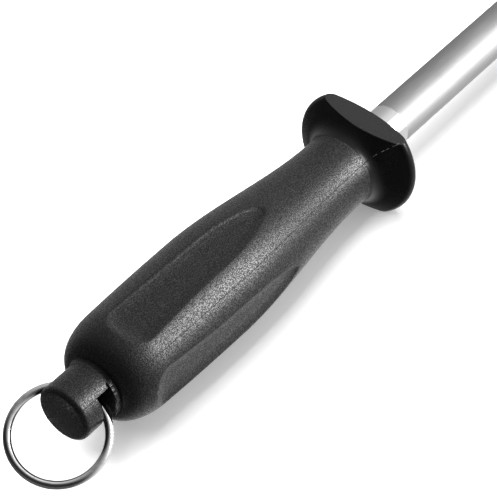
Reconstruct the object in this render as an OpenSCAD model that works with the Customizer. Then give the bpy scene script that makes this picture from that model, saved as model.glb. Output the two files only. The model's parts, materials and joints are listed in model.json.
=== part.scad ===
// Butcher's knife sharpening steel: a round steel rod in a moulded grip,
// with a hand guard in front and a loose hanging ring behind.
// Frame: +X runs along the rod to its tip, +Z is up, and the guard's two flats are level.
// The origin is on the rod's axis, where the rod leaves the guard's front face.

/* [Rod] */
// Diameter of the round sharpening rod
rod_d = 13; // [11:0.5:14]
// Length of the rod in front of the guard
rod_len = 300; // [200:10:360]
// Radius that rounds the rod's tip
tip_r = 4; // [1:0.5:5]
// Diameter of the rod's seat, inside the guard
seat_d = 12; // [10:0.5:12]
// Diameter of the tang that the grip is moulded on
tang_d = 9; // [7:0.5:10]
// Distance across the tang's two flats
tang_flats = 7.6; // [6:0.2:7.8]
// Depth of the tang's retaining grooves
groove_depth = 1; // [0.4:0.2:1.4]

/* [Guard] */
// Diameter of the round hand guard
guard_d = 38.6; // [34:0.2:44]
// Distance across the guard's two flats
guard_flats = 27.6; // [25:0.2:30]
// Radius of the guard's rounded rim
rim_r = 2.2; // [1.5:0.1:2.6]
// Height of the front crown over the rim's middle plane, on the axis
front_crown = 5.3; // [4:0.1:6.5]
// Height of the rear crown over the rim's middle plane, on the axis
rear_crown = 6.6; // [5.5:0.1:7.5]
// Distance from the rim's middle plane back to the end of the collar
collar_reach = 9; // [8.6:0.1:10]

/* [Grip] */
// Diameter of the neck, behind the guard
neck_d = 22.1; // [21:0.1:24]
// Largest diameter of the grip
belly_d = 31.2; // [28:0.2:34]
// Diameter where the rear shoulder begins
shoulder_d = 30.1; // [27:0.1:31]
// Distance from the guard's front face to the grip's butt face
grip_reach = 117.5; // [114:0.5:124]
// Angle from the top finger flat to the side finger flat
flat_skew = 86; // [84:1:90]
// Distance of a finger flat from the axis, at the belly
flat_height = 14.54; // [14:0.02:15]
// Angle of the mould's parting plane, from the top towards the right side
parting_angle = 42; // [38:1:46]

/* [Hanging eye] */
// Diameter of the eye's stub
stub_d = 16.2; // [15:0.2:17]
// Length of the stub behind the butt face
stub_len = 12.8; // [12:0.2:16]
// Length of the passage along the stub
slot_len = 4.7; // [4.5:0.1:5.5]
// Depth of the right pocket, from the axis down to its floor
slot_depth = 4; // [3.5:0.1:4.5]
// Length of the left pocket, in which the ring swings round
left_pocket_len = 7.9; // [7.5:0.1:8.5]

/* [Ring] */
// Outer diameter of the hanging ring
ring_d = 27.8; // [27:0.1:28.2]
// Diameter of the ring's wire
wire_d = 2.3; // [2:0.1:2.4]
// Angle of the ring below the axis, as it lies in the eye
ring_droop = 20.5; // [0:0.5:40]
// Roll of the ring about the axis, its left side up
ring_roll = 8.2; // [0:0.2:12]
// Turn of the ring towards the right side
ring_yaw = 4.9; // [0:0.1:6]

/* [Hidden] */
$fn = 96;

// Rod, seat and tang, as distances along X
rod_r = rod_d / 2;
seat_r = seat_d / 2;
tang_r = tang_d / 2;
seat_end = -20;
tang_start = -22;
tang_end = -106;
tang_chamfer = 1;
groove_count = 4;
groove_first = -42;
groove_pitch = 15;
groove_width = 4;
groove_bevel = 1;

// Guard: each crown is an arc that the rim's arc touches from inside
guard_rim = guard_d / 2 - rim_r;
function crown_offset(h) = (guard_rim ^ 2 - (h - rim_r) ^ 2) / (2 * (h - rim_r));
front_offset = crown_offset(front_crown);
front_radius = front_crown + front_offset;
rear_offset = crown_offset(rear_crown);
rear_radius = rear_crown + rear_offset;
bore_angle = asin(rod_r / front_radius);
front_touch = atan2(guard_rim, front_offset);
rear_touch = atan2(guard_rim, rear_offset);
rim_x = front_offset - front_radius * cos(bore_angle);
// Fillet from the rear crown to the neck, an arc that touches both
neck_r = neck_d / 2;
fillet_r = (neck_r ^ 2 + (collar_reach + rear_offset) ^ 2 - rear_radius ^ 2) / (2 * (rear_radius - neck_r));
fillet_touch = atan2(neck_r + fillet_r, collar_reach + rear_offset);
collar_end = rim_x - collar_reach;
spigot_r = 9;
spigot_flats = 15.6;

// Grip profile, as distances along X
swell_start = -17.4;
belly_x = -73;
shoulder_x = -104.5;
butt_x = -grip_reach;
butt_disc_r = 8.8;
butt_disc_len = 1.4;
belly_r = belly_d / 2;
shoulder_r = shoulder_d / 2;

// Finger flats: each is bowed along the belly, and an arc that touches the bow runs it out at the rear
flat_bow = 451;
runout_x = -103.5;
runout_r = 15.8;
flat_front = -44;
flat_half_width = 16;
flat_cutter_top = 26;
bow_angle = asin((runout_x - belly_x) / flat_bow);
bow_z = flat_height - flat_bow;
fine_fn = 720;

// Hanging eye
stub_r = stub_d / 2;
stub_edge = 1.5;
slot_x = butt_x - butt_disc_len;
stub_end = butt_x - stub_len;
pocket_reach = stub_r + 1;
// The left pocket's outline as [y, z], whose roof stays inside the stub's side as seen from above
left_pocket = [[-2, 1.6], [pocket_reach, 3.6], [pocket_reach, -4.5], [-2, -3.3]];
// A recess in the right pocket's front wall makes room for the wire as the ring swings down
recess_depth = 0.9;
recess_height = 3;

// Ring
wire_r = wire_d / 2;
ring_r = ring_d / 2 - wire_r;
ring_play = 0.2;
eye_x = slot_x - ring_play - wire_r;
eye_z = -0.3;

arc_steps = 12;

// Points from angle a0 to a1 of an arc around [cr, cx], where 0 points along X and 90 away from the axis
function arc(cr, cx, r, a0, a1, n) =
    [for (i = [0:n]) let (a = a0 + (a1 - a0) * i / n) [cr + r * sin(a), cx + r * cos(a)]];

function smooth_step(t) = t * t * (3 - 2 * t);
function swell_radius(t) = neck_r + (belly_r - neck_r) * smooth_step(t);
function taper_radius(t) = belly_r - (belly_r - shoulder_r) * t * t;
function mix(a, b, t) = a + (b - a) * t;

// Turns a profile of [radius, x] points into a solid of revolution about X
module turned(points) {
    rotate([0, 90, 0])
        rotate_extrude()
            polygon(points);
}

// Keeps what lies between two planes, both half a width from the axis, from x0 to x1
module between_flats(x0, x1, across, reach) {
    translate([x0, -reach, -across / 2])
        cube([x1 - x0, 2 * reach, across]);
}

module tang() {
    intersection() {
        difference() {
            turned([
                [0, seat_end], [seat_r, seat_end], [tang_r, tang_start],
                [tang_r, tang_end + tang_chamfer], [tang_r - tang_chamfer, tang_end], [0, tang_end]
            ]);
            for (i = [0:groove_count - 1]) groove(groove_first - i * groove_pitch);
        }
        between_flats(tang_end, seat_end, tang_flats, seat_r);
    }
}

// A ring-shaped groove with bevelled sides, centred on x
module groove(x) {
    floor_r = tang_r - groove_depth;
    half = groove_width / 2;
    turned([
        [floor_r, x - half + groove_bevel], [tang_r + 0.5, x - half - 0.5],
        [tang_r + 0.5, x + half + 0.5], [floor_r, x + half - groove_bevel]
    ]);
}

module rod_body() {
    turned(concat(
        [[0, seat_end], [seat_r, seat_end], [seat_r, 0], [rod_r, 0]],
        arc(rod_r - tip_r, rod_len - tip_r, tip_r, 90, 0, arc_steps),
        [[0, rod_len]]
    ));
}

module steel_rod() {
    color("silver") {
        rod_body();
        tang();
    }
}

module guard_disc() {
    turned(concat(
        arc(0, rim_x - front_offset, front_radius, bore_angle, front_touch, arc_steps),
        arc(guard_rim, rim_x, rim_r, front_touch, 180 - rear_touch, arc_steps),
        arc(0, rim_x + rear_offset, rear_radius, 180 - rear_touch, 180 - fillet_touch, arc_steps / 2),
        arc(neck_r + fillet_r, collar_end, fillet_r, -fillet_touch, -90, arc_steps),
        [[seat_r, collar_end], [seat_r, 0]]
    ));
}

module guard_spigot() {
    intersection() {
        turned([[seat_r, collar_end], [spigot_r, collar_end], [spigot_r, seat_end], [seat_r, seat_end]]);
        between_flats(seat_end, collar_end, spigot_flats, spigot_r);
    }
}

module hand_guard() {
    color([0.09, 0.09, 0.1]) {
        intersection() {
            guard_disc();
            between_flats(collar_end, 0, guard_flats, guard_d / 2);
        }
        guard_spigot();
    }
}

module grip_blank() {
    turned(concat(
        [[0, collar_end], [neck_r, collar_end]],
        [for (i = [0:2 * arc_steps]) let (t = i / (2 * arc_steps)) [swell_radius(t), mix(swell_start, belly_x, t)]],
        [for (i = [1:arc_steps / 2]) let (t = i / (arc_steps / 2)) [taper_radius(t), mix(belly_x, shoulder_x, t)]],
        [for (i = [1:arc_steps]) let (a = 90 * i / arc_steps)
            [mix(butt_disc_r, shoulder_r, cos(a)), mix(shoulder_x, butt_x, sin(a))]],
        [[butt_disc_r, slot_x], [stub_r, slot_x]],
        arc(stub_r - stub_edge, stub_end + stub_edge, stub_edge, 90, 180, arc_steps / 2),
        [[0, stub_end]]
    ));
}

// A cylinder across the grip, centred on the axis's plane of symmetry
module roller(x, z, r) {
    translate([x, 0, z])
        rotate([90, 0, 0])
            cylinder(h = 2 * flat_half_width, r = r, center = true, $fn = fine_fn);
}

// What a finger flat takes away: the space over the bow, closed at the rear by the run-out
module flat_cutter() {
    difference() {
        translate([runout_x, -flat_half_width + 1, 0])
            cube([flat_front - runout_x, 2 * (flat_half_width - 1), flat_cutter_top]);
        roller(belly_x, bow_z, flat_bow);
    }
    roller(
        belly_x + (flat_bow + runout_r) * sin(bow_angle),
        bow_z + (flat_bow + runout_r) * cos(bow_angle),
        runout_r
    );
}

// The right pocket lies on one side of the parting plane, with a recess low in its front wall
module right_pocket() {
    rotate([parting_angle, 0, 0])
        translate([slot_x, -pocket_reach, -slot_depth]) {
            translate([-slot_len, 0, 0])
                cube([slot_len, pocket_reach, slot_depth + pocket_reach]);
            cube([recess_depth, pocket_reach, slot_depth + recess_height]);
        }
}

// The left pocket comes in from the other side and meets the right one in the stub's middle
module left_pocket() {
    translate([slot_x - left_pocket_len, 0, 0])
        rotate([90, 0, 90])
            linear_extrude(left_pocket_len)
                polygon(left_pocket);
}

module grip() {
    color([0.12, 0.12, 0.13])
        difference() {
            grip_blank();
            for (angle = [0, flat_skew, 180, 180 + flat_skew]) rotate([angle, 0, 0]) flat_cutter();
            right_pocket();
            left_pocket();
            steel_rod();
            guard_spigot();
        }
}

module hanging_ring() {
    color("gainsboro")
        translate([eye_x, 0, eye_z])
            rotate([ring_roll, -ring_droop, ring_yaw])
                translate([-ring_r, 0, 0])
                    rotate_extrude()
                        translate([ring_r, 0])
                            circle(r = wire_r);
}

steel_rod();
hand_guard();
grip();
hanging_ring();
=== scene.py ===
"""Looks of a butcher's sharpening steel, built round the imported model.

Every shape is worked out in millimetres in the frame's own axes: X runs along the rod to its tip and Z is
up, square to the hand guard's flats. An angle round the rod counts from the top towards the right side, so
a point of radius r at angle a lies at (x, -r sin a, r cos a). Metres come in when a mesh is made.
"""

import json
import logging
import math
from collections.abc import Callable, Mapping, Sequence
from dataclasses import dataclass, field
from enum import Enum
from typing import Any

import bpy
import numpy as np
from mathutils import Matrix, Vector


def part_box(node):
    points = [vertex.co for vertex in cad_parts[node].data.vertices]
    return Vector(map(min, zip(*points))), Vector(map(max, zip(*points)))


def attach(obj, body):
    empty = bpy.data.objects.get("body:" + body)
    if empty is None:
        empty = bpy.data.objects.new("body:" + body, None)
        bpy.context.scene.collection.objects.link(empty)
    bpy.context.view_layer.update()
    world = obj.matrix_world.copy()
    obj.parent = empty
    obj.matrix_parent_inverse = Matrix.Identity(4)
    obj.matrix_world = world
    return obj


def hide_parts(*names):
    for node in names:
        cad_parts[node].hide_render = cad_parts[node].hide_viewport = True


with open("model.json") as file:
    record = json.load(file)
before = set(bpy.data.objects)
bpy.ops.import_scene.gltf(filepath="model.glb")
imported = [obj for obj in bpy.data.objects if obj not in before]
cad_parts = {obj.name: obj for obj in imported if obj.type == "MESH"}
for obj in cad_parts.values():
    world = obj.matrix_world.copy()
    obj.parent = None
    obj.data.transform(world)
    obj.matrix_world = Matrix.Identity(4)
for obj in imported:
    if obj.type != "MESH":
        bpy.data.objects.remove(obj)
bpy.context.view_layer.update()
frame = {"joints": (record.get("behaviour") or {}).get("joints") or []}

LOG = logging.getLogger("sharpening_steel")
MM = 0.001  # in metres
FULL_TURN = 2.0 * math.pi
SMALL = 1e-3  # margin between two stations, and the least number to divide by
TINY = 1e-6  # distance under which two stations are the same
SEAM_COLUMNS = 9  # columns packed across a seam
SEAM_CLEARANCE = 0.2  # least gap beside them, as a share of an even step
Array = np.ndarray
Colour = tuple[float, float, float]
Pair = tuple[float, float]


# ---------------------------------------------------------------- shapes


def smooth_min(a: Array, b: Array, softness: float) -> Array:
    """Smaller of two surfaces, with the edge where they meet rounded.

    Formula: with h = 1/2 + (b - a) / (2 s), held from 0 to 1, the result is b + (a - b) h - s h (1 - h).

    Args:
        a: First surface.
        b: Second surface.
        softness: Width s of the rounding, in the surfaces' own unit.

    Returns:
        The rounded minimum, never above either surface.
    """
    h = np.clip(0.5 + 0.5 * (b - a) / softness, 0.0, 1.0)
    return b + (a - b) * h - softness * h * (1.0 - h)


def smooth_step(t: Array) -> Array:
    """Rise from 0 to 1 that starts and ends level: t^2 (3 - 2 t)."""
    return t**2 * (3.0 - 2.0 * t)


def wrapped(angle: Array) -> Array:
    """Angle brought between minus and plus half a turn."""
    return (angle + math.pi) % FULL_TURN - math.pi


def columns(count: int, seams: Sequence[float] = (), radius: float = 1.0, width: float = 0.5) -> Array:
    """Angles of a turned grid's columns, packed closer beside each seam.

    Args:
        count: Evenly spaced columns in the full turn.
        seams: Angles of the seams, in radians.
        radius: Radius at which a seam's width is measured, in millimetres.
        width: Half-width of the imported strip, in millimetres.

    Returns:
        Rising angles from 0 up to a full turn.
    """
    even = np.arange(count) * FULL_TURN / count
    if not seams:
        return even
    strip = np.linspace(-width, width, SEAM_COLUMNS) / radius
    packed = (np.array(seams)[:, None] + strip).ravel()
    near = np.abs(wrapped(even[:, None] - packed)).min(1)
    kept = even[near > SEAM_CLEARANCE * FULL_TURN / count]
    return np.sort(np.concatenate([kept, packed]) % FULL_TURN)


class Profile:
    """An outline to turn about X: stations (x, r) joined from straight runs, arcs and curves."""

    def __init__(self, x: float, r: float) -> None:
        """Starts the outline at one station."""
        self._runs: list[Array] = [np.array([[x, r]])]

    def line(self, x: float, r: float, steps: int = 1) -> "Profile":
        """Adds an even straight run.

        Args:
            x: End of the run along X.
            r: End of the run's radius.
            steps: Stations to add.

        Returns:
            The profile, so that calls chain.
        """
        start = self._runs[-1][-1]
        share = np.arange(1, steps + 1)[:, None] / steps
        return self.curve(start + (np.array([x, r]) - start) * share)

    def arc(self, x: float, r: float, radius: float, start: float, end: float, steps: int) -> "Profile":
        """Adds an arc round (x, r): stations (x + radius cos a, r + radius sin a).

        Args:
            x: Centre along X.
            r: Centre's radius.
            radius: Radius of the arc.
            start: First angle in degrees, 0 along X and 90 away from the axis.
            end: Last angle in degrees.
            steps: Spans along the arc.

        Returns:
            The profile, so that calls chain.
        """
        angle = np.radians(np.linspace(start, end, steps + 1))
        return self.curve(np.stack([x + radius * np.cos(angle), r + radius * np.sin(angle)], 1))

    def curve(self, stations: Array) -> "Profile":
        """Adds stations worked out elsewhere, leaving out one that repeats the last."""
        near = np.hypot(*(stations[0] - self._runs[-1][-1])) < TINY
        self._runs.append(stations[1:] if near else stations)
        return self

    def stations(self) -> Array:
        """All stations as rows of (x, r)."""
        return np.concatenate(self._runs)


class Turned:
    """A surface turned about X: a grid with a row for each station and a column for each angle.

    Formula: row i and column j lie at (x, -r sin a, r cos a), where x and r may vary over the whole grid.
    """

    def __init__(self, stations: Array, angle: Array) -> None:
        """Turns the stations through the angles.

        Args:
            stations: Rows of (x, r) in millimetres.
            angle: Column angles in radians.
        """
        self.angle = np.broadcast_to(angle, (len(stations), len(angle)))
        self.x = np.repeat(stations[:, :1], len(angle), 1)
        self.r = np.repeat(stations[:, 1:], len(angle), 1)

    def between_flats(self, half: float, softness: float, rows: Array | None = None) -> None:
        """Cuts the surface back to two level flats: r becomes the smooth minimum of r and half / |cos a|.

        Args:
            half: Distance of each flat from the axis.
            softness: Rounding of the flats' edges.
            rows: Which rows are cut, or None for all of them.
        """
        reach = half / np.maximum(np.abs(np.cos(self.angle)), SMALL)
        cut = smooth_min(self.r, reach, softness)
        self.r = cut if rows is None else np.where(rows[:, None], cut, self.r)

    def raise_by(self, height: Array) -> None:
        """Moves every point along its section's normal, the tangent (dx, dr) turned to (-dr, dx)."""
        tangent_x, tangent_r = np.gradient(self.x, axis=0), np.gradient(self.r, axis=0)
        length = np.maximum(np.hypot(tangent_x, tangent_r), TINY)
        self.x = self.x - height * tangent_r / length
        self.r = self.r + height * tangent_x / length

    def points(self) -> Array:
        """Grid of points, rows by columns by (x, y, z), in millimetres."""
        return np.stack([self.x, -self.r * np.sin(self.angle), self.r * np.cos(self.angle)], 2)


class Ends(Enum):
    """How the first and last rows of a grid close."""

    POLES = "poles"
    JOINED = "joined"


def grid_faces(rows: int, cols: int, ends: Ends) -> tuple[Array, Array]:
    """Faces of a grid whose columns wrap round, facing away from the axis.

    Args:
        rows: Rows of vertices.
        cols: Vertices in a row.
        ends: Whether the end rows join each other, or close on two poles that follow the grid's vertices.

    Returns:
        The quads and the triangles, as arrays of vertex numbers.
    """
    last = rows if ends is Ends.JOINED else rows - 1
    row, col = np.meshgrid(np.arange(last), np.arange(cols), indexing="ij")
    ahead, beside = (row + 1) % rows, (col + 1) % cols
    corners = [row * cols + col, row * cols + beside, ahead * cols + beside, ahead * cols + col]
    quads = np.stack(corners, 2).reshape(-1, 4)
    if ends is Ends.JOINED:
        return quads, np.empty((0, 3), int)
    col, beside = np.arange(cols), (np.arange(cols) + 1) % cols
    base, pole = (rows - 1) * cols, rows * cols
    first = np.stack([np.full(cols, pole), beside, col], 1)
    final = np.stack([base + col, base + beside, np.full(cols, pole + 1)], 1)
    return quads, np.concatenate([first, final])


def place(name: str, data: bpy.types.ID) -> bpy.types.Object:
    """Makes an object of a mesh, light or camera and links it to the scene, at the origin."""
    made = bpy.data.objects.new(name, data)
    bpy.context.scene.collection.objects.link(made)
    return made


def mesh_piece(name: str, grid: Array, ends: Ends, sharp: float = 180.0) -> bpy.types.Object:
    """Makes a smooth closed mesh from a grid of points.

    Args:
        name: Name of the piece.
        grid: Rows by columns by three, in millimetres. With poles, the first and last rows hold the poles.
        ends: How the end rows close.
        sharp: Angle in degrees over which an edge is shaded sharp.

    Returns:
        The new object.
    """
    cols = grid.shape[1]
    if ends is Ends.POLES:
        poles = np.stack([grid[0].mean(0), grid[-1].mean(0)])
        grid = grid[1:-1]
        vertices = np.concatenate([grid.reshape(-1, 3), poles])
    else:
        vertices = grid.reshape(-1, 3)
    quads, triangles = grid_faces(len(grid), cols, ends)
    mesh = bpy.data.meshes.new(name)
    mesh.from_pydata((vertices * MM).tolist(), [], [*quads.tolist(), *triangles.tolist()])
    mesh.shade_smooth()
    if sharp < 180.0:
        mesh.set_sharp_from_angle(angle=math.radians(sharp))
    return place(name, mesh)


def prism(name: str, outline: Sequence[Pair], ends: Pair, turn: float = 0.0) -> bpy.types.Object:
    """Makes a closed prism along X, for cutting with.

    Formula: the outline's points (y, z), turned about X, are repeated at both ends.

    Args:
        name: Name of the cutter.
        outline: Corners as (y, z) in millimetres, clockwise as seen against X.
        ends: Lower and upper end along X, in millimetres.
        turn: Turn about X in degrees.

    Returns:
        The cutter's object.
    """
    count = len(outline)
    ring = np.array(outline)
    corners = np.concatenate([np.column_stack([np.full(count, x), ring]) for x in ends]) * MM
    index = np.arange(count)
    after = (index + 1) % count
    sides = np.stack([index, index + count, after + count, after], 1).tolist()
    mesh = bpy.data.meshes.new(name)
    mesh.from_pydata(corners.tolist(), [], [*sides, index.tolist(), (index[::-1] + count).tolist()])
    mesh.transform(Matrix.Rotation(math.radians(turn), 4, "X"))
    return place(name, mesh)


def cut_away(piece: bpy.types.Object, cutters: Sequence[bpy.types.Object], sharp: float) -> None:
    """Takes the cutters out of a piece, applies the result to its mesh and removes the cutters.

    Args:
        piece: Piece to cut.
        cutters: Closed meshes to take away.
        sharp: Angle in degrees over which an edge is shaded sharp afterwards.
    """
    for cutter in cutters:
        modifier = piece.modifiers.new("cut", "BOOLEAN")
        modifier.operation = "DIFFERENCE"
        modifier.solver = "EXACT"
        modifier.object = cutter
    bpy.context.view_layer.update()
    evaluated = piece.evaluated_get(bpy.context.evaluated_depsgraph_get())
    cut = bpy.data.meshes.new_from_object(evaluated)
    piece.modifiers.clear()
    whole, piece.data = piece.data, cut
    bpy.data.meshes.remove(whole)
    cut.name = piece.name
    cut.shade_smooth()
    cut.set_sharp_from_angle(angle=math.radians(sharp))
    for cutter in cutters:
        bpy.data.objects.remove(cutter)


# ---------------------------------------------------------------- materials


def math_node(operation: str, swapped: bool = False) -> Callable[..., "Value"]:
    """Makes the method of Value that stands for one of Python's operators.

    Args:
        operation: Blender's name for the operation of the Math node.
        swapped: Whether the other value comes first.

    Returns:
        The method, which adds the node and returns its result.
    """

    def method(value: "Value", *others: "Value | float") -> "Value":
        """Adds the node to the value's tree."""
        given = (*others, value) if swapped else (value, *others)
        return value.shader.node("ShaderNodeMath", {"operation": operation}, dict(enumerate(given)))

    return method


class Value:
    """A number on a shader socket. Python's operators add the Math nodes that work it out."""

    __add__ = __radd__ = math_node("ADD")
    __sub__ = math_node("SUBTRACT")
    __rsub__ = math_node("SUBTRACT", swapped=True)
    __mul__ = __rmul__ = math_node("MULTIPLY")
    __pow__ = math_node("POWER")
    __abs__ = math_node("ABSOLUTE")

    def __init__(self, shader: "Nodes", socket: bpy.types.NodeSocket) -> None:
        """Wraps one output socket of a shader's tree."""
        self.shader = shader
        self.socket = socket

    def ramp(self, low: float, high: float) -> "Value":
        """Smooth step from 0 at low to 1 at high, whichever of the two is the larger."""
        settings = {"interpolation_type": "SMOOTHSTEP"}
        falls = float(low > high)
        ends = {1: min(low, high), 2: max(low, high), 3: falls, 4: 1.0 - falls}
        return self.shader.node("ShaderNodeMapRange", settings, {0: self, **ends})

    def sway(self, amount: float) -> "Value":
        """A noise's way from its middle, amount (v - 1/2)."""
        return (self - 0.5) * amount


class Nodes:
    """A shader tree, with one method that adds any node."""

    def __init__(self, tree: bpy.types.ShaderNodeTree) -> None:
        """Wraps a tree."""
        self.tree = tree

    def node(
        self,
        kind: str,
        settings: Mapping[str, Any] | None = None,
        inputs: Mapping[int | str, Any] | None = None,
        output: int | str = 0,
    ) -> Value:
        """Adds a node.

        Args:
            kind: Blender's name for the node's type.
            settings: Properties of the node, which are set first.
            inputs: Values or links for its sockets, by number or name.
            output: The socket to return.

        Returns:
            The chosen output.
        """
        made = self.tree.nodes.new(kind)
        for key, setting in (settings or {}).items():
            setattr(made, key, setting)
        for key, given in (inputs or {}).items():
            self.feed(made.inputs[key], given)
        return Value(self, made.outputs[output])

    def feed(self, socket: bpy.types.NodeSocket, given: Any) -> None:
        """Links a value to a socket, or sets the socket's own number or colour."""
        if isinstance(given, Value):
            self.tree.links.new(given.socket, socket)
        else:
            socket.default_value = given

    def axes(self, place: Value) -> tuple[Value, Value, Value]:
        """Splits a vector into its parts along X, Y and Z."""
        parts = self.node("ShaderNodeSeparateXYZ", inputs={0: place}).socket.node.outputs
        return Value(self, parts[0]), Value(self, parts[1]), Value(self, parts[2])


class Shader(Nodes):
    """A material on the Principled BSDF, whose places are millimetres in the frame's axes."""

    noise_falloff = 0.55
    cell_softness = 0.35

    def __init__(self, name: str) -> None:
        """Starts a material with a bare Principled BSDF."""
        self.material = bpy.data.materials.new(name)
        self.material.use_nodes = True
        super().__init__(self.material.node_tree)
        self.surface = next(n for n in self.tree.nodes if n.type == "BSDF_PRINCIPLED")
        metres = self.node("ShaderNodeTexCoord", output="Object")
        scale = {"Vector": metres, "Scale": 1.0 / MM}
        self.position = self.node("ShaderNodeVectorMath", {"operation": "SCALE"}, scale)
        self.x, self.y, self.z = self.axes(self.position)

    def set(self, **sockets: Any) -> None:
        """Feeds the surface's sockets, named with underscores for spaces."""
        for key, given in sockets.items():
            self.feed(self.surface.inputs[key.replace("_", " ")], given)

    def noise(self, size: float, detail: float = 2.0, stretch: Sequence[float] = (1.0, 1.0, 1.0)) -> Value:
        """Noise over the piece.

        Args:
            size: Size of its features in millimetres.
            detail: Octaves of finer noise.
            stretch: How many times longer the features are along each axis.

        Returns:
            Values from 0 to 1, mostly near one half.
        """
        scale = [1.0 / s for s in stretch]
        drawn = self.node("ShaderNodeMapping", {}, {"Vector": self.position, "Scale": scale})
        inputs = {"Vector": drawn, "Scale": 1.0 / size, "Detail": detail, "Roughness": self.noise_falloff}
        return self.node("ShaderNodeTexNoise", {}, inputs, "Fac")

    def cells(self, size: float) -> Value:
        """Distance from the middle of rounded cells of a size in millimetres, as moulded grain has."""
        settings = {"feature": "SMOOTH_F1"}
        inputs = {"Vector": self.position, "Scale": 1.0 / size, "Smoothness": self.cell_softness}
        return self.node("ShaderNodeTexVoronoi", settings, inputs, "Distance")

    def colour(self, share: Value, low: Colour, high: Colour) -> Value:
        """Mixes two linear colours by a share from 0 to 1."""
        ends = {6: (*low, 1.0), 7: (*high, 1.0)}
        return self.node("ShaderNodeMix", {"data_type": "RGBA"}, {0: share, **ends}, 2)

    def bump(self, height: Value, depth: float, strength: float, under: Value | None = None) -> Value:
        """Normal of a relief.

        Args:
            height: Height from 0 to 1.
            depth: Millimetres that a height of 1 stands for.
            strength: How much of the relief shows.
            under: Normal of a coarser relief that this one lies on.

        Returns:
            The relief's normal.
        """
        inputs = {"Height": height, "Distance": depth * MM, "Strength": strength}
        if under is not None:
            inputs["Normal"] = under
        return self.node("ShaderNodeBump", {}, inputs, "Normal")


@dataclass(frozen=True)
class GripPlastic:
    """Black moulded plastic with a fine spark-eroded grain, which sparkles where the light grazes it."""

    dark: Colour = (0.0012, 0.0012, 0.0013)
    light: Colour = (0.0036, 0.0036, 0.0038)
    roughness: float = 0.40
    specular: float = 0.32
    grain_size: float = 0.34
    grain_share: float = 0.7
    grain_depth: float = 0.09
    grain_tint: float = 0.6
    grain_gloss: float = 0.16
    cell_size: float = 0.476
    cell_share: float = 0.5
    cloud_size: float = 9.0
    cloud_tint: float = 0.4
    cloud_gloss: float = 0.10
    glint_size: float = 0.31
    glint_levels: Pair = (0.49, 0.58)
    glint_roughness: float = 0.30
    eye_gloss: float = 0.4
    eye_edge: float = 0.1

    def material(self, eye: Pair, bore: float) -> bpy.types.Material:
        """Grain of noise over rounded cells, with a thin glossy skin in places, under cloudy gloss, and
        painted shade inside the eye.

        Args:
            eye: Rear and front ends of the eye along X, in millimetres. Inside it the plastic is dull,
                without glints, and painted at its darkest colour as shade.
            bore: Distance from the axis within which the eye counts as inside, in millimetres.

        Returns:
            The material.
        """
        shader = Shader("grip_plastic")
        fine = shader.noise(self.grain_size, detail=3.0)
        cloud = shader.noise(self.cloud_size, detail=3.0)
        glints = shader.noise(self.glint_size, detail=1.0).ramp(*self.glint_levels)
        grain = fine * self.grain_share + shader.cells(self.cell_size) * self.cell_share
        from_axis = (shader.y * shader.y + shader.z * shader.z) ** 0.5
        rear, front = eye
        inside = from_axis.ramp(bore, bore - self.eye_edge) * shader.x.ramp(rear, rear + self.eye_edge)
        inside = inside * shader.x.ramp(front, front - self.eye_edge)
        outside = 1.0 - inside
        # Painted shade: inside the eye the grain and cloud tint is left out, so the recess takes the
        # darkest colour.
        tint = (grain * self.grain_tint + cloud * self.cloud_tint) * outside
        gloss = cloud.sway(self.cloud_gloss) + fine.sway(self.grain_gloss) + inside * self.eye_gloss
        shader.set(
            Base_Color=shader.colour(tint, self.dark, self.light),
            Roughness=self.roughness + gloss,
            Specular_IOR_Level=self.specular,
            Coat_Weight=glints * outside,
            Coat_Roughness=self.glint_roughness,
            Normal=shader.bump(grain, self.grain_depth, 1.0),
        )
        return shader.material


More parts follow.
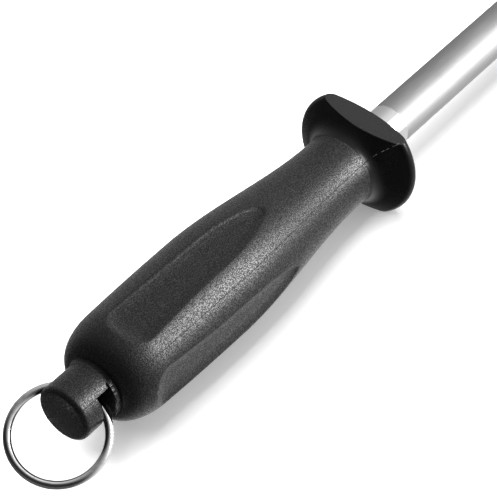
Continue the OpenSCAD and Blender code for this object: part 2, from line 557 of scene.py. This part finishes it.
@dataclass(frozen=True)
class GuardPlastic:
    """Smooth black moulded plastic with a satin gloss, grained on the guard's two flats."""

    dark: Colour = (0.0012, 0.0012, 0.0013)
    pale: Colour = (0.11, 0.11, 0.11)
    roughness: float = 0.26
    specular: float = 0.22
    flat_edge: Pair = (0.12, 0.03)
    # Lighter colour on the flats: partly their grain, partly painted sheen of the light from above.
    flat_tint_and_sheen: float = 0.08
    flat_roughness: float = 0.44
    flat_grain: float = 4.0
    cloud_size: float = 7.0
    cloud_tint: float = 0.02
    cloud_gloss: float = 0.10
    cloud_depth: float = 0.06
    cloud_strength: float = 0.25
    grain_size: float = 0.35
    grain_gloss: float = 0.06
    grain_depth: float = 0.012
    grain_strength: float = 0.5
    glint_size: float = 0.3
    glint_levels: Pair = (0.50, 0.60)
    glint_weight: float = 0.6
    # Painted highlight along the parting line: its width, core, streak length, streak levels and fade at
    # the rear.
    painted_highlight_width: float = 0.09
    painted_highlight_core: float = 0.3
    painted_highlight_length: float = 1.4
    painted_highlight_levels: Pair = (0.50, 0.58)
    painted_highlight_end: float = 0.5

    def material(self, flat_height: float, rear: float, parting: "PartingLine") -> bpy.types.Material:
        """Satin gloss with faint flow marks, glints on the flats, and a painted highlight: broken pale
        streaks of colour along the parting line.

        Args:
            flat_height: Height of the flats over the axis, in millimetres.
            rear: Place along X behind which the painted highlight shows, in millimetres.
            parting: The mould's parting line.

        Returns:
            The material.
        """
        shader = Shader("guard_plastic")
        cloud = shader.noise(self.cloud_size, detail=4.0)
        fine = shader.noise(self.grain_size)
        glints = shader.noise(self.glint_size, detail=1.0).ramp(*self.glint_levels)
        on_flat = abs(shader.z).ramp(*(flat_height - edge for edge in self.flat_edge))
        turn = math.radians(parting.angle)
        across = abs(shader.y * math.cos(turn) + shader.z * math.sin(turn))
        # Painted highlight: pale colour in broken streaks along the parting line on the rear face, standing
        # in for light caught by the seam.
        broken = shader.noise(self.painted_highlight_length).ramp(*self.painted_highlight_levels)
        behind = shader.x.ramp(rear, rear - self.painted_highlight_end)
        painted_highlight = across.ramp(self.painted_highlight_width, self.painted_highlight_core * self.painted_highlight_width) * broken * behind
        gloss = cloud.sway(self.cloud_gloss) + fine.sway(self.grain_gloss)
        relief = shader.bump(cloud, self.cloud_depth, self.cloud_strength)
        grain = fine * (1.0 + on_flat * self.flat_grain)
        # The flats' lighter colour is partly painted sheen of the light from above.
        tint = cloud * self.cloud_tint + on_flat * self.flat_tint_and_sheen + painted_highlight
        shader.set(
            Base_Color=shader.colour(tint, self.dark, self.pale),
            Roughness=self.roughness + on_flat * (self.flat_roughness - self.roughness) + gloss,
            Specular_IOR_Level=self.specular,
            Coat_Weight=glints * on_flat * self.glint_weight,
            Coat_Roughness=self.flat_roughness,
            Normal=shader.bump(grain, self.grain_depth, self.grain_strength, relief),
        )
        return shader.material


@dataclass(frozen=True)
class RodSteel:
    """Hard bright-plated steel: polished on its shank, satin where the fine cut runs along it."""

    bright: Colour = (0.76, 0.76, 0.765)
    dull: Colour = (0.30, 0.30, 0.305)
    shank_roughness: float = 0.12
    cut_roughness: float = 0.56
    cut_shine: float = 0.62
    cut_blend: float = 0.25
    streak_size: float = 0.22
    streak_length: float = 60.0
    streak_gloss: float = 0.12
    streak_depth: float = 0.01
    streak_strength: float = 0.35
    patch_size: float = 3.0
    patch_length: float = 4.0
    patch_gloss: float = 0.06

    def material(self, cut_start: float) -> bpy.types.Material:
        """Metal with streaks along the rod.

        Args:
            cut_start: Place along X where the cut begins, in millimetres.

        Returns:
            The material.
        """
        shader = Shader("rod_steel")
        cut = shader.x.ramp(cut_start - self.cut_blend, cut_start + self.cut_blend)
        streaks = shader.noise(self.streak_size, stretch=(self.streak_length, 1.0, 1.0))
        patches = shader.noise(self.patch_size, detail=3.0, stretch=(self.patch_length, 1.0, 1.0))
        shine = (streaks + patches) * (0.5 * self.cut_shine)
        rough = self.shank_roughness + cut * (self.cut_roughness - self.shank_roughness)
        shader.set(
            Base_Color=shader.colour(1.0 - cut * (1.0 - shine), self.dull, self.bright),
            Metallic=1.0,
            Roughness=rough + streaks.sway(self.streak_gloss) + patches.sway(self.patch_gloss),
            Normal=shader.bump(streaks * cut, self.streak_depth, self.streak_strength),
        )
        return shader.material


@dataclass(frozen=True)
class RingWire:
    """Polished nickel-plated wire with hairline rubbing marks."""

    bright: Colour = (0.92, 0.92, 0.92)
    dull: Colour = (0.78, 0.78, 0.77)
    roughness: float = 0.06
    rub_size: float = 1.6
    rub_levels: Pair = (0.52, 0.68)
    rub_gloss: float = 0.10
    hair_size: float = 0.12
    hair_gloss: float = 0.04
    hair_depth: float = 0.004
    hair_strength: float = 0.4

    def material(self) -> bpy.types.Material:
        """Bright metal, duller in small rubbed patches."""
        shader = Shader("ring_wire")
        rubbed = shader.noise(self.rub_size, detail=4.0).ramp(*self.rub_levels)
        hairs = shader.noise(self.hair_size)
        shader.set(
            Base_Color=shader.colour(rubbed, self.bright, self.dull),
            Metallic=1.0,
            Roughness=self.roughness + rubbed * self.rub_gloss + hairs.sway(self.hair_gloss),
            Normal=shader.bump(hairs, self.hair_depth, self.hair_strength),
        )
        return shader.material


@dataclass(frozen=True)
class TablePaper:
    """Plain white paper under the object."""

    shade: Colour = (0.95, 0.95, 0.95)
    roughness: float = 0.9
    glow: float = 0.28

    def material(self) -> bpy.types.Material:
        """Matt white, lit through from below so that the shadows on it stay pale."""
        shader = Shader("table_paper")
        shader.set(Base_Color=(*self.shade, 1.0), Roughness=self.roughness, Specular_IOR_Level=0.0)
        shader.set(Emission_Color=(1.0, 1.0, 1.0, 1.0), Emission_Strength=self.glow)
        return shader.material


# ---------------------------------------------------------------- the steel's pieces


def box_mm(node: str) -> tuple[Array, Array]:
    """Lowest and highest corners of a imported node, in millimetres."""
    low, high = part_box(node)
    return np.array(low) / MM, np.array(high) / MM


def dress(piece: bpy.types.Object, material: bpy.types.Material) -> None:
    """Gives a piece its one material."""
    piece.data.materials.clear()
    piece.data.materials.append(material)


@dataclass
class PartingLine:
    """The mould's parting line: a fine raised seam on both sides of the plastic."""

    angle: float = 42.0
    height: float = 0.06
    spread: float = 0.13

    def seams(self) -> list[float]:
        """Angles of the two seams, in radians."""
        return [math.radians(self.angle), math.radians(self.angle + 180.0)]

    def rise(self, surface: Turned) -> Array:
        """Height of the seam, a bell exp(-(d / spread)^2) of the distance d = r a across it."""
        away = [np.abs(surface.r) * np.abs(wrapped(surface.angle - seam)) for seam in self.seams()]
        return self.height * np.exp(-((np.minimum(*away) / self.spread) ** 2))


@dataclass
class SteelRod:
    """The round rod with its polished shank, its fine lengthwise cut and its grooved tang."""

    radius: float
    tip_x: float
    tang_end: float
    seat_radius: float = 6.0
    seat_end: float = -20.0
    tang_radius: float = 4.5
    tang_start: float = -22.0
    tang_half: float = 3.8
    tang_chamfer: float = 1.0
    tang_softness: float = 0.15
    groove_first: float = -42.0
    groove_pitch: float = 15.0
    groove_count: int = 4
    groove_half: float = 2.0
    groove_depth: float = 1.0
    seat_slope: float = 0.02
    tip_radius: float = 4.0
    cut_start: float = 10.3
    cut_count: int = 120
    cut_depth: float = 0.004
    cut_ramp: float = 0.35
    cut_stop: float = 0.35
    cut_fade: float = 0.5
    cut_samples: int = 6
    sharp: float = 50.0
    finish: RodSteel = field(default_factory=RodSteel)

    @classmethod
    def from_frame(cls) -> "SteelRod":
        """Reads the rod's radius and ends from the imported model."""
        low, high = box_mm("steel_rod")
        return cls(radius=(high[1] - low[1]) / 2.0, tip_x=high[0], tang_end=low[0])

    def tang(self, profile: Profile) -> Profile:
        """Adds the tang's outline, from its end to the seat, with its bevelled grooves."""
        floor = self.tang_radius - self.groove_depth
        profile.line(self.tang_end, self.tang_radius - self.tang_chamfer, steps=3)
        profile.line(self.tang_end + self.tang_chamfer, self.tang_radius, steps=2)
        for i in reversed(range(self.groove_count)):
            middle = self.groove_first - i * self.groove_pitch
            profile.line(middle - self.groove_half, self.tang_radius, steps=3)
            profile.line(middle - self.groove_half + self.groove_depth, floor, steps=2)
            profile.line(middle + self.groove_half - self.groove_depth, floor, steps=2)
            profile.line(middle + self.groove_half, self.tang_radius, steps=2)
        profile.line(self.tang_start, self.tang_radius, steps=3)
        return profile.line(self.seat_end, self.seat_radius, steps=3)

    def stations(self) -> Array:
        """Outline from the tang's end to the tip, with close rows where the cut begins."""
        profile = self.tang(Profile(self.tang_end, 0.0))
        profile.line(-self.seat_slope, self.seat_radius, steps=3).line(0.0, self.radius, steps=2)
        profile.line(self.cut_start - self.cut_ramp, self.radius, steps=4)
        profile.line(self.cut_start + self.cut_ramp, self.radius, steps=6)
        edge = self.tip_radius
        profile.line(self.tip_x - edge, self.radius, steps=16)
        profile.arc(self.tip_x - edge, self.radius - edge, edge, 90, 0, steps=10)
        return profile.line(self.tip_x, 0.0, steps=2).stations()

    def cut(self, surface: Turned) -> Array:
        """Depth of the cut: waves depth (1 - cos(count a)) / 2, fading in and out along the rod."""
        begin = np.clip((surface.x - self.cut_start) / self.cut_ramp + 0.5, 0.0, 1.0)
        tip = self.tip_x - self.cut_stop * self.tip_radius
        end = np.clip((tip - surface.x) / (self.cut_fade * self.tip_radius), 0.0, 1.0)
        waves = 0.5 - 0.5 * np.cos(self.cut_count * surface.angle)
        return self.cut_depth * waves * begin * end

    def build(self) -> bpy.types.Object:
        """Makes the rod's mesh and dresses it."""
        surface = Turned(self.stations(), columns(self.cut_count * self.cut_samples))
        surface.between_flats(self.tang_half, self.tang_softness, surface.x[:, 0] < self.seat_end + SMALL)
        surface.r = surface.r - self.cut(surface)
        piece = mesh_piece("rod", surface.points(), Ends.POLES, self.sharp)
        dress(piece, self.finish.material(self.cut_start))
        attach(piece, "steel")
        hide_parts("steel_rod")
        return piece


@dataclass
class HandGuard:
    """The round guard with two flats: crowned faces, a rounded rim and a fillet down to a collar."""

    radius: float
    half: float
    spigot_end: float
    parting: PartingLine
    rim_radius: float = 2.2
    front_crown: float = 5.3
    rear_crown: float = 6.6
    collar_reach: float = 9.0
    neck_radius: float = 11.05
    rod_radius: float = 6.5
    bore_radius: float = 6.0
    spigot_radius: float = 9.0
    spigot_half: float = 7.8
    spigot_edge: float = 0.1
    collar_edge: float = 0.1
    fillet_start: float = -88.0
    flat_edge: float = 0.32
    seam_margin: float = 0.2
    seam_width: float = 0.4
    around: int = 480
    sharp: float = 60.0
    finish: GuardPlastic = field(default_factory=GuardPlastic)

    @classmethod
    def from_frame(cls, parting: PartingLine) -> "HandGuard":
        """Reads the guard's radius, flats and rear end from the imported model."""
        low, high = box_mm("hand_guard")
        return cls(radius=(high[1] - low[1]) / 2.0, half=high[2], spigot_end=low[0], parting=parting)

    @property
    def rim(self) -> float:
        """Radius of the circle that the rim's arc is centred on."""
        return self.radius - self.rim_radius

    def crown_offset(self, height: float) -> float:
        """Distance from the rim's plane back to the centre of a crown that the rim's arc touches."""
        over = height - self.rim_radius
        return (self.rim**2 - over**2) / (2.0 * over)

    @property
    def rim_x(self) -> float:
        """Place of the rim's middle plane, so that the front crown meets the rod at x = 0."""
        offset = self.crown_offset(self.front_crown)
        return offset - math.sqrt((self.front_crown + offset) ** 2 - self.rod_radius**2)

    @property
    def collar_end(self) -> float:
        """Place of the collar's rear end, where the grip's neck begins."""
        return self.rim_x - self.collar_reach

    def stations(self) -> Array:
        """Closed outline: spigot, fillet, rear crown, rim, front crown and back through the bore."""
        front, rear = self.crown_offset(self.front_crown), self.crown_offset(self.rear_crown)
        front_r, rear_r = self.front_crown + front, self.rear_crown + rear
        reach = self.collar_reach + rear
        fillet = (self.neck_radius**2 + reach**2 - rear_r**2) / (2.0 * (rear_r - self.neck_radius))
        touch = math.degrees(math.atan2(self.neck_radius + fillet, reach))
        front_touch = math.degrees(math.atan2(self.rim, front))
        rear_touch = math.degrees(math.atan2(self.rim, rear))
        bore = math.degrees(math.asin(self.rod_radius / front_r))
        profile = Profile(self.spigot_end, self.bore_radius)
        profile.line(self.spigot_end, self.spigot_radius, steps=2)
        profile.line(self.collar_end, self.spigot_radius, steps=4)
        edge = self.collar_edge
        profile.line(self.collar_end, self.neck_radius - edge, steps=2)
        profile.arc(self.collar_end + edge, self.neck_radius - edge, edge, 180, 90, steps=3)
        profile.arc(self.collar_end, self.neck_radius + fillet, fillet, self.fillet_start, -touch, steps=26)
        profile.arc(self.rim_x + rear, 0.0, rear_r, 180 - touch, 180 - rear_touch, steps=26)
        profile.arc(self.rim_x, self.rim, self.rim_radius, 180 - rear_touch, front_touch, steps=34)
        profile.arc(self.rim_x - front, 0.0, front_r, front_touch, bore, steps=44)
        return profile.line(0.0, self.bore_radius + edge).line(-edge, self.bore_radius).stations()

    def build(self) -> bpy.types.Object:
        """Makes the guard's mesh and dresses it."""
        angle = columns(self.around, self.parting.seams(), self.rim, self.seam_width)
        surface = Turned(self.stations(), angle)
        surface.between_flats(self.spigot_half, self.spigot_edge, surface.x[:, 0] < self.collar_end - SMALL)
        surface.between_flats(self.half, self.flat_edge, surface.x[:, 0] > self.collar_end)
        margin = self.seam_margin
        outside = (surface.r > self.neck_radius - margin) & (surface.r < self.half - margin)
        surface.raise_by(self.parting.rise(surface) * outside)
        piece = mesh_piece("guard", surface.points(), Ends.JOINED, self.sharp)
        dress(piece, self.finish.material(self.half, self.rim_x, self.parting))
        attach(piece, "steel")
        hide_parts("hand_guard")
        return piece


@dataclass
class Grip:
    """The contoured grip with its finger flats, rounded butt and hanging eye, moulded in one piece."""

    stub_end: float
    collar_end: float
    rod: SteelRod
    guard: HandGuard
    parting: PartingLine
    swell_start: float = -17.4
    belly_x: float = -73.0
    belly_radius: float = 15.6
    shoulder_x: float = -104.5
    shoulder_radius: float = 15.05
    butt_x: float = -117.5
    disc_radius: float = 8.8
    disc_length: float = 1.4
    disc_rag: float = 0.18
    disc_waves: tuple[int, ...] = (7, 13, 19, 31, 47)
    disc_from: float = 30.0
    disc_to: float = 175.0
    disc_blend: float = 0.15
    disc_step: float = 0.05
    stub_radius: float = 8.1
    stub_edge: float = 1.5
    stub_dome: float = 0.35
    slot_length: float = 4.7
    slot_depth: float = 4.0
    recess_depth: float = 0.9
    recess_height: float = 3.0
    left_length: float = 7.9
    left_outline: tuple[Pair, ...] = ((-2.0, 1.6), (9.1, 3.6), (9.1, -4.5), (-2.0, -3.3))
    cutter_reach: float = 2.0
    recess_lap: float = 0.5
    eye_margin: float = 0.1
    flat_angles: tuple[float, ...] = (0.0, 86.0, 180.0, 266.0)
    flat_height: float = 14.54
    flat_bow: float = 451.0
    flat_front: float = -30.0
    runout_x: float = -103.5
    runout_radius: float = 15.8
    flat_softness: float = 0.22
    lip_depth: float = 0.28
    lip_width: float = 0.7
    dish_depth: float = 0.55
    dish_width: float = 4.5
    butt_margin: float = 0.5
    rear_stations: int = 71
    front_stations: int = 111
    butt_stations: int = 40
    seam_width: float = 0.45
    around: int = 270
    sharp: float = 38.0
    finish: GripPlastic = field(default_factory=GripPlastic)

    @classmethod
    def from_frame(cls, rod: SteelRod, guard: HandGuard, parting: PartingLine) -> "Grip":
        """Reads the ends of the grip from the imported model."""
        low, high = box_mm("grip")
        return cls(stub_end=low[0], collar_end=high[0], rod=rod, guard=guard, parting=parting)

    @property
    def slot_x(self) -> float:
        """Place of the slot's front wall, at the rear of the butt's disc."""
        return self.butt_x - self.disc_length

    def body_curve(self) -> Array:
        """Stations from the shoulder to the neck.

        Formula: r falls from the belly by t^2 towards the shoulder, and by a smooth step towards the neck.
        """
        neck = self.guard.neck_radius
        t = np.linspace(1.0, 0.0, self.rear_stations)
        rear_x = self.belly_x + (self.shoulder_x - self.belly_x) * t
        rear_r = self.belly_radius - (self.belly_radius - self.shoulder_radius) * t**2
        t = np.linspace(1.0, 0.0, self.front_stations)[1:]
        front_x = self.swell_start + (self.belly_x - self.swell_start) * t
        front_r = neck + (self.belly_radius - neck) * smooth_step(t)
        return np.stack([np.concatenate([rear_x, front_x]), np.concatenate([rear_r, front_r])], 1)

    def butt_curve(self) -> Array:
        """Stations of the rounded butt, a quarter of an ellipse from the disc out to the shoulder."""
        a = np.linspace(math.pi / 2.0, 0.0, self.butt_stations)
        x = self.shoulder_x + (self.butt_x - self.shoulder_x) * np.sin(a)
        r = self.disc_radius + (self.shoulder_radius - self.disc_radius) * np.cos(a)
        return np.stack([x, r], 1)

    def stub_outline(self) -> Profile:
        """Outline of the stub from the middle of its domed end face to the butt's disc."""
        rim = self.stub_radius - self.stub_edge
        dome = (rim**2 + self.stub_dome**2) / (2.0 * self.stub_dome)
        swing = math.degrees(math.asin(rim / dome))
        edge_x = self.stub_end + self.stub_dome + self.stub_edge
        profile = Profile(self.stub_end, 0.0)
        profile.arc(self.stub_end + dome, 0.0, dome, 180.0, 180.0 - swing, steps=8)
        profile.arc(edge_x, rim, self.stub_edge, 180.0 - swing, 90.0, steps=8)
        profile.line(self.slot_x, self.stub_radius, steps=28)
        return profile.line(self.slot_x, self.disc_radius).line(self.butt_x, self.disc_radius, steps=6)

    def skin(self) -> Profile:
        """Outline of what shows: stub, butt, body and neck."""
        profile = self.stub_outline().curve(self.butt_curve()).curve(self.body_curve())
        return profile.line(self.collar_end, self.guard.neck_radius, steps=8)

    def cavity(self, profile: Profile) -> Profile:
        """Adds the cavity that the spigot, seat and tang fill, from the neck back to the tang's end."""
        profile.line(self.collar_end, self.guard.spigot_radius, steps=2)
        profile.line(self.guard.spigot_end, self.guard.spigot_radius, steps=3)
        profile.line(self.guard.spigot_end, self.rod.seat_radius, steps=2)
        return profile.curve(self.rod.tang(Profile(self.rod.tang_end, 0.0)).stations()[::-1][1:])

    def flats(self, surface: Turned) -> Array:
        """Distance of the finger flats from the axis in every direction.

        Formula: each flat's height over the axis is a wide arc bowed along the belly, and behind the
        run-out place an arc that touches it and rises; divided by cos(a - flat's angle) it is a distance.
        """
        low = self.flat_height - self.flat_bow
        tilt = (self.runout_x - self.belly_x) / self.flat_bow
        reach = self.flat_bow + self.runout_radius
        back_x, back_z = self.belly_x + reach * tilt, low + reach * math.sqrt(1.0 - tilt**2)
        bow = low + np.sqrt(self.flat_bow**2 - (surface.x - self.belly_x) ** 2)
        inside = np.clip(self.runout_radius**2 - (surface.x - back_x) ** 2, 0.0, None)
        height = np.where(surface.x > self.runout_x, bow, back_z - np.sqrt(inside))
        height = np.where(surface.x > self.flat_front, 2.0 * self.flat_height, height)
        turns = [np.cos(surface.angle - math.radians(angle)) for angle in self.flat_angles]
        return height / np.maximum.reduce(turns)

    def hollow(self, surface: Turned, flats: Array) -> Array:
        """Depth of the finger hollows under their flats.

        Formula: with d the depth of a flat under the turned surface, the distance from the hollow's lip
        is u = d / |slope of d|. The hollow is the sum of the lip's smooth step and the dish's 2 t - t^2,
        each with t = u / its width, held from 0 to 1.

        Args:
            surface: The turned surface, before the flats are cut.
            flats: Distance of the flats from the axis, at the same points.

        Returns:
            Depth in millimetres, 0 outside the hollows.
        """
        under = surface.r - flats
        run = np.gradient(surface.x, axis=0)
        arc = np.gradient(surface.angle, axis=1) * np.maximum(surface.r, SMALL)
        along = np.gradient(under, axis=0) / np.where(np.abs(run) < SMALL, SMALL, run)
        across = np.gradient(under, axis=1) / arc
        reach = under / np.maximum(np.hypot(along, across), SMALL)
        lip, dish = (np.clip(reach / width, 0.0, 1.0) for width in (self.lip_width, self.dish_width))
        return self.lip_depth * smooth_step(lip) + self.dish_depth * dish * (2.0 - dish)

    def disc_edge(self, surface: Turned) -> Array:
        """Radius of the butt's disc: a ragged flash beside the eye, and a soft fillet all round elsewhere.

        Formula: the flash adds waves of unrelated lengths to the disc's radius. The fillet falls from the
        disc's radius to the stub's by the square of the way from the butt to the slot.
        """
        angle = surface.angle
        waves = sum(np.sin(k * angle + k * k) / math.sqrt(k) for k in self.disc_waves)
        middle = math.radians(self.disc_from + self.disc_to) / 2.0
        half = math.radians(self.disc_to - self.disc_from) / 2.0
        beside = np.clip((half - np.abs(wrapped(angle - middle))) / self.disc_blend, 0.0, 1.0)
        way = np.clip((surface.x - self.slot_x) / self.disc_length, 0.0, 1.0)
        low = self.stub_radius + self.disc_step
        fillet = low + (self.disc_radius - low) * way**2
        return fillet + beside * (self.disc_radius + self.disc_rag * waves - fillet)

    def pockets(self) -> list[bpy.types.Object]:
        """Cutters for the eye: a pocket on each side, and the recess in the right one's front wall."""
        side, floor = -self.stub_radius - self.cutter_reach, -self.slot_depth
        right = ((side, floor), (side, -side), (0.0, -side), (0.0, floor))
        recess = ((side, floor), (side, self.recess_height), (0.0, self.recess_height), (0.0, floor))
        front, turn = self.slot_x, self.parting.angle
        return [
            prism("right_pocket", right, (front - self.slot_length, front), turn),
            prism("pocket_recess", recess, (front - self.recess_lap, front + self.recess_depth), turn),
            prism("left_pocket", self.left_outline, (front - self.left_length, front)),
        ]

    def build(self) -> bpy.types.Object:
        """Makes the grip's mesh and dresses it."""
        skin = self.skin()
        skin_rows = len(skin.stations())
        stations = self.cavity(skin).stations()
        angle = columns(self.around, self.parting.seams(), self.belly_radius, self.seam_width)
        surface = Turned(stations, angle)
        x, r = stations.T
        outer = np.arange(len(stations)) < skin_rows
        on_body = outer & (x > self.butt_x + self.butt_margin)
        flats = self.flats(surface)
        cut = smooth_min(surface.r, flats, self.flat_softness) - self.hollow(surface, flats)
        surface.r = np.where(on_body[:, None], cut, surface.r)
        in_tang = ~outer & (x < self.rod.seat_end + SMALL) & (r < self.rod.seat_radius + SMALL)
        in_spigot = ~outer & (r > self.guard.spigot_radius - SMALL) & (x < self.collar_end)
        surface.between_flats(self.rod.tang_half, self.rod.tang_softness, in_tang)
        surface.between_flats(self.guard.spigot_half, self.guard.spigot_edge, in_spigot)
        on_disc = (surface.r > self.disc_radius - SMALL) & (surface.x < self.butt_x - SMALL)
        surface.r = np.where(on_disc, self.disc_edge(surface), surface.r)
        surface.raise_by(self.parting.rise(surface) * outer[:, None])
        piece = mesh_piece("grip_shell", surface.points(), Ends.POLES)
        cut_away(piece, self.pockets(), self.sharp)
        eye = (self.slot_x - self.left_length, self.slot_x + self.recess_depth)
        dress(piece, self.finish.material(eye, self.stub_radius - self.eye_margin))
        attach(piece, "steel")
        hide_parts("grip")
        return piece


@dataclass
class HangingRing:
    """The round wire ring that hangs in the eye, with the small swelling of its weld."""

    centre: Array
    pivot: Array
    hinge: Array
    half_width: float
    weld_angle: float = 205.0
    weld_swell: float = 0.03
    weld_length: float = 0.9
    along_wire: int = 320
    round_wire: int = 40
    finish: RingWire = field(default_factory=RingWire)

    @classmethod
    def from_frame(cls, joints: Sequence[Mapping[str, Any]]) -> "HangingRing":
        """Reads the ring's centre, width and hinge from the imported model."""
        low, high = box_mm("hanging_ring")
        joint = next(joint for joint in joints if joint["name"] == "ring_swing")
        hinge = np.array(joint["axis"]) / np.linalg.norm(joint["axis"])
        pivot = np.array(joint["pos_m"]) / MM
        return cls(centre=(low + high) / 2.0, pivot=pivot, hinge=hinge, half_width=(high[1] - low[1]) / 2.0)

    def grid(self) -> Array:
        """Torus: the wire's circle carried round the ring's circle.

        Formula: the mean radius R is the distance from the hinge to the ring's centre, i is the direction
        between them, j the hinge's and k their normal. A ring of wire radius w reaches R sqrt(1 - ky^2) + w
        to each side. At turn a and wire angle b the surface is at c + (R + w cos b) (j sin a - i cos a)
        + k w sin b.
        """
        spoke = self.centre - self.pivot
        mean = np.linalg.norm(spoke)
        normal = np.cross(self.hinge, spoke / mean)
        radius = self.half_width - mean * math.sqrt(1.0 - normal[1] ** 2)
        turn = columns(self.along_wire)[:, None, None]
        around = columns(self.round_wire)[None, :, None]
        from_weld = mean * np.abs(wrapped(turn - math.radians(self.weld_angle)))
        wire = radius * (1.0 + self.weld_swell * np.exp(-((from_weld / self.weld_length) ** 2)))
        outward = self.hinge * np.sin(turn) - spoke / mean * np.cos(turn)
        return self.centre + (mean + wire * np.cos(around)) * outward + normal * wire * np.sin(around)

    def build(self) -> bpy.types.Object:
        """Makes the ring's mesh and dresses it."""
        piece = mesh_piece("ring", self.grid()[::-1], Ends.JOINED)
        dress(piece, self.finish.material())
        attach(piece, "ring")
        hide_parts("hanging_ring")
        return piece


# ---------------------------------------------------------------- studio


class Lights(Enum):
    """What a soft box lights: the matt looks of the surfaces, or the gloss on them."""

    MATT = "matt"
    GLOSSY = "glossy"


@dataclass(frozen=True)
class SoftLight:
    """A rectangular soft box that faces the object. Its size is given round the rod and along it."""

    name: str
    direction: tuple[float, float, float]
    distance: float
    size: tuple[float, float]
    power: float
    lit: Lights

    def hang(self, target: Vector) -> None:
        """Places the light at its distance from a target, looking at it."""
        data = bpy.data.lights.new(self.name, "AREA")
        data.shape = "RECTANGLE"
        data.size, data.size_y = self.size
        data.energy = self.power
        light = place(self.name, data)
        away = Vector(self.direction).normalized()
        around = Vector((1.0, 0.0, 0.0)).cross(away).normalized()
        turn = Matrix((around, away.cross(around), away)).transposed()
        light.matrix_world = Matrix.Translation(target + away * self.distance) @ turn.to_4x4()
        light.visible_glossy = self.lit is Lights.GLOSSY
        light.visible_diffuse = self.lit is Lights.MATT


@dataclass
class Studio:
    """Camera, white table, soft boxes and a pale surround."""

    camera_place: tuple[float, float, float] = (-0.37828, -0.19843, 0.42765)
    azimuth: float = 31.506
    elevation: float = 48.419
    roll: float = 9.019
    lens: float = 153.55
    sensor: float = 36.0
    framing: Pair = (-0.001, 0.001)
    clip: Pair = (0.01, 20.0)
    target: tuple[float, float, float] = (-0.060, 0.0, 0.0)
    table_reach: float = 3000.0
    rest_reach: float = 4.0
    backdrop: float = 1.0
    below: Pair = (0.10, 0.85)
    above: Pair = (0.03, 0.95)
    ahead: Pair = (-0.5, 0.5)
    horizon: Pair = (-0.10, 0.15)
    left: Pair = (0.0, 0.8)
    left_shade: float = 0.50
    lights: tuple[SoftLight, ...] = (
        SoftLight("key", (0.566, -0.640, 0.520), 1.3, (0.64, 0.40), 13.0, Lights.GLOSSY),
        SoftLight("halo", (0.566, -0.610, 0.555), 1.6, (1.7, 0.8), 7.0, Lights.GLOSSY),
        SoftLight("overhead", (-0.15, 0.55, 1.0), 1.6, (1.9, 1.9), 78.0, Lights.MATT),
    )

    def camera(self) -> None:
        """Sets the camera: it looks down along its azimuth and elevation, rolled about its own axis."""
        data = bpy.data.cameras.new("camera")
        data.lens, data.sensor_width = self.lens, self.sensor
        data.shift_x, data.shift_y = self.framing
        data.clip_start, data.clip_end = self.clip
        camera = place("camera", data)
        level = Matrix.Rotation(math.radians(self.azimuth - 90.0), 4, "Z")
        tipped = Matrix.Rotation(math.radians(90.0 - self.elevation), 4, "X")
        rolled = Matrix.Rotation(math.radians(self.roll), 4, "Z")
        camera.matrix_world = Matrix.Translation(self.camera_place) @ level @ tipped @ rolled
        bpy.context.scene.camera = camera

    def table(self, rod: SteelRod, guard: HandGuard) -> None:
        """Lays the white table under the guard's flat and the rod's tip, which the steel rests on."""
        front, rear = rod.tip_x - rod.tip_radius, guard.rim_x - self.rest_reach
        slope = (guard.half - rod.radius) / (front - rear)
        spread = self.table_reach * np.array([[-1.0, -1.0], [1.0, -1.0], [1.0, 1.0], [-1.0, 1.0]])
        height = -guard.half + slope * (spread[:, 0] - rear)
        mesh = bpy.data.meshes.new("table")
        corners = np.column_stack([spread, height]) * MM
        mesh.from_pydata(corners.tolist(), [], [(0, 1, 2, 3)])
        table = place("table", mesh)
        dress(table, TablePaper().material())
        table.visible_glossy = False

    def world(self) -> None:
        """Surrounds the object with soft light.

        Formula: the light from a direction grows from dim at the rear to pale ahead, and is dimmer towards
        the left. The camera itself sees an even white.
        """
        world = bpy.data.worlds.new("surround")
        world.use_nodes = True
        tree = Nodes(world.node_tree)
        background = next(n for n in world.node_tree.nodes if n.type == "BACKGROUND")
        x, y, z = tree.axes(tree.node("ShaderNodeTexCoord", output="Generated"))
        ahead = x.ramp(*self.ahead)
        above, below = (rear + ahead * (front - rear) for rear, front in (self.above, self.below))
        light = below + z.ramp(*self.horizon) * (above - below)
        light = light * (1.0 - y.ramp(*self.left) * self.left_shade)
        seen = tree.node("ShaderNodeLightPath", output="Is Camera Ray")
        tree.feed(background.inputs["Strength"], light + seen * (self.backdrop - light))
        background.inputs["Color"].default_value = (1.0, 1.0, 1.0, 1.0)
        bpy.context.scene.world = world
        bpy.context.scene.view_settings.view_transform = "Standard"

    def build(self, rod: SteelRod, guard: HandGuard) -> None:
        """Sets up the whole studio."""
        self.camera()
        self.table(rod, guard)
        self.world()
        for light in self.lights:
            light.hang(Vector(self.target))


def main() -> None:
    logging.basicConfig(level=logging.INFO, format="%(name)s: %(message)s")
    parting = PartingLine()
    rod = SteelRod.from_frame()
    guard = HandGuard.from_frame(parting)
    grip = Grip.from_frame(rod, guard, parting)
    ring = HangingRing.from_frame(frame["joints"])
    for part in (rod, guard, grip, ring):
        piece = part.build()
        LOG.info("%s: %d vertices", piece.name, len(piece.data.vertices))
    Studio().build(rod, guard)


if __name__ == "__main__":
    main()
